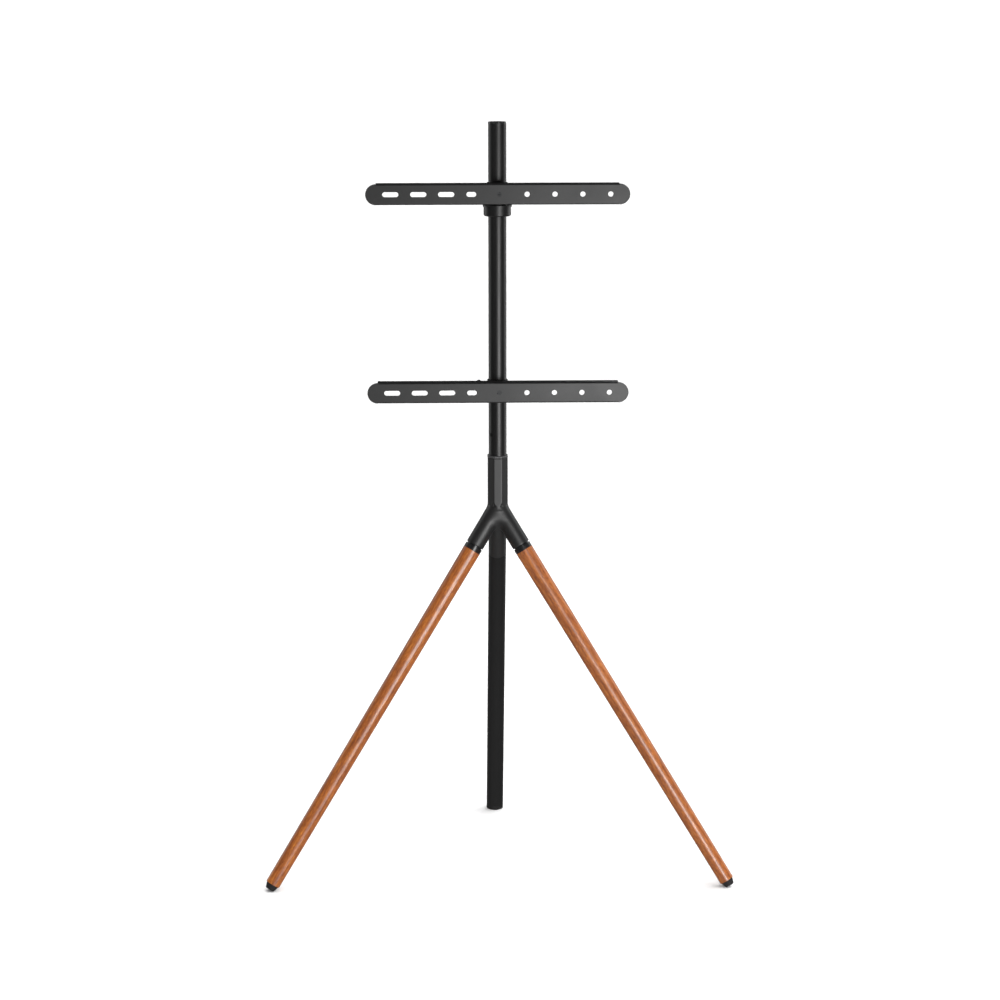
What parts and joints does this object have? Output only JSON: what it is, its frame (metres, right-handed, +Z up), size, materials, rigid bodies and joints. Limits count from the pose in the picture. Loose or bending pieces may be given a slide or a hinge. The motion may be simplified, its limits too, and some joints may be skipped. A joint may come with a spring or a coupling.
{
  "type": "tripod floor stand",
  "caption": "Easel-style tripod floor stand for a flat screen: a pole on two wooden front legs and a steel rear leg, with two slotted swivel bars.",
  "frame": {"origin": "middle of the footprint's bounding box, on the floor", "axes": "+Z up along the pole, -Y to the front, where the screen is mounted, +X to the right seen from the front"},
  "size_m": [0.8638, 0.5007, 1.3942],
  "materials": {
    "powder_coat": "satin",
    "gloss_black": "gloss",
    "oiled_wood": "semi-gloss",
    "zinc": "satin",
    "black_oxide": "satin",
    "brass": "satin",
    "rubber": "matte",
    "liner_plastic": "matte"
  },
  "bodies": {
    "stand": {"hub": "powder_coat", "trim_ring": "gloss_black", "hub_screws": "black_oxide", "pole": "powder_coat", "pole_cap": "gloss_black", "pole_spigot": "zinc", "pole_screws": "black_oxide", "front_leg_left": "oiled_wood", "front_leg_right": "oiled_wood", "ferrule_left": "gloss_black", "ferrule_right": "gloss_black", "leg_stud_left": "zinc", "leg_stud_right": "zinc", "leg_insert_left": "brass", "leg_insert_right": "brass", "foot_left": "rubber", "foot_right": "rubber", "foot_screws": "zinc", "rear_leg": "powder_coat", "rear_leg_screw": "black_oxide", "foot_rear": "rubber"},
    "height_collar": {"collar": "powder_coat", "collar_set_screws": "zinc"},
    "upper_mount": {"upper_carriage": "powder_coat", "upper_liner": "liner_plastic", "upper_nut": "zinc", "upper_bar": "powder_coat", "upper_bar_screw": "black_oxide"},
    "lower_slider": {"lower_liner": "liner_plastic"},
    "lower_mount": {"lower_carriage": "powder_coat", "lower_nut": "zinc", "lower_bar": "powder_coat", "lower_bar_screw": "black_oxide"},
    "wing_screw": {"lower_wing_screw": "powder_coat"}
  },
  "joints": [
    {"name": "collar_height", "type": "slide", "parent": "stand", "child": "height_collar", "axis": [0, 0, 1], "range_m": [-0.1, 0.1]},
    {"name": "upper_swivel", "type": "hinge", "parent": "height_collar", "child": "upper_mount", "pos_m": [0, -0.07924, 1.268], "axis": [0, 0, 1], "continuous": true},
    {"name": "lower_height", "type": "slide", "parent": "stand", "child": "lower_slider", "axis": [0, 0, 1], "range_m": [-0.04, 0.16]},
    {"name": "lower_swivel", "type": "hinge", "parent": "lower_slider", "child": "lower_mount", "pos_m": [0, -0.07924, 0.908], "axis": [0, 0, 1], "continuous": true},
    {"name": "wing_turn", "type": "hinge", "parent": "lower_mount", "child": "wing_screw", "pos_m": [-0.0235, -0.07924, 0.908], "axis": [-1, 0, 0], "range_deg": [0, 360]}
  ]
}
